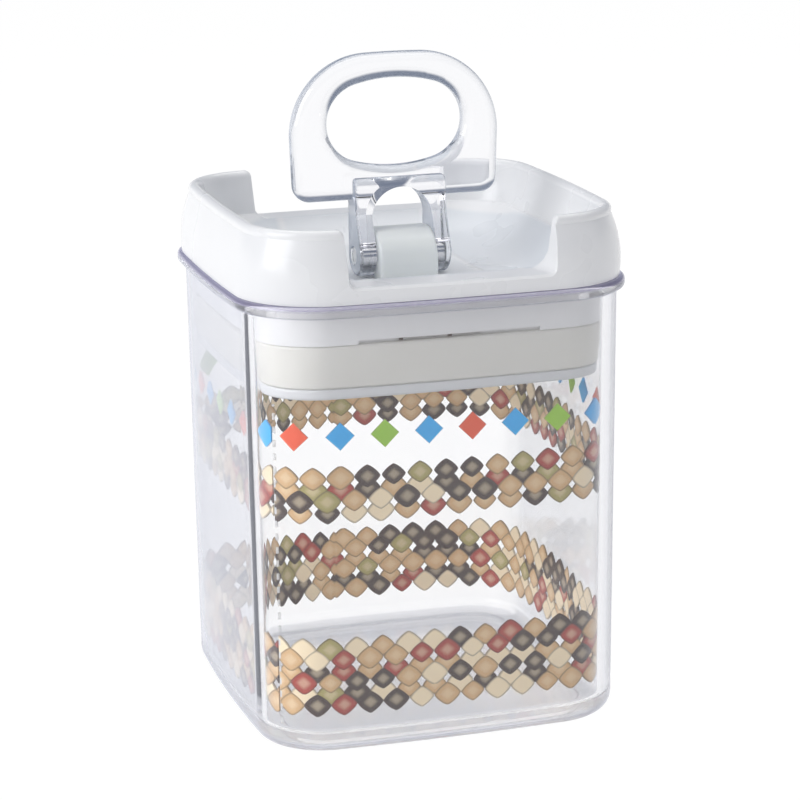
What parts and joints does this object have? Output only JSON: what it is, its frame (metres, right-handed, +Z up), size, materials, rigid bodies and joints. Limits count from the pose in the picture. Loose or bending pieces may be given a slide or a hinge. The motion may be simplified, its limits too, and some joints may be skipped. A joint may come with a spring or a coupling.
{
  "type": "storage canister",
  "caption": "Square clear kitchen canister with a white press-seal lid: folding its clear flip handle down lifts a plate that squeezes a soft gasket against the wall.",
  "frame": {"origin": "middle of the base, on the surface that the canister stands on", "axes": "+Z up through the handle, front towards -Y, +X to the right seen from the front"},
  "size_m": [0.075, 0.075, 0.1235],
  "materials": {
    "clear_plastic": "clear, polished",
    "printed_film": "clear film with a printed pattern",
    "white_plastic": "glossy moulded white",
    "soft_gasket": "soft cream silicone",
    "pale_plastic": "satin pale grey",
    "milky_plastic": "milky, smooth",
    "steel": "bright turned"
  },
  "bodies": {
    "canister": {"canister": "clear_plastic", "printed_sleeve": "printed_film"},
    "lid": {"lid_cover": "white_plastic", "inner_lid": "white_plastic", "gasket": "soft_gasket"},
    "lifter": {"press_plate": "pale_plastic", "lift_stem": "milky_plastic", "hinge_pin": "steel"},
    "handle": {"flip_handle": "clear_plastic"}
  },
  "joints": [
    {"name": "lid_lift", "type": "slide", "parent": "canister", "child": "lid", "axis": [0, 0, 1], "range_m": [0, 0.12]},
    {"name": "plate_lift", "type": "slide", "parent": "lid", "child": "lifter", "axis": [0, 0, 1], "range_m": [0, 0.0017], "deforming": ["gasket"]},
    {"name": "handle_flip", "type": "hinge", "parent": "lifter", "child": "handle", "pos_m": [0, -0.0025, 0.0859], "axis": [1, 0, 0], "range_deg": [0, 90]}
  ],
  "couplings": [
    {"joint": "plate_lift", "follows": "handle_flip", "m_per_rad": 0.001082}
  ]
}
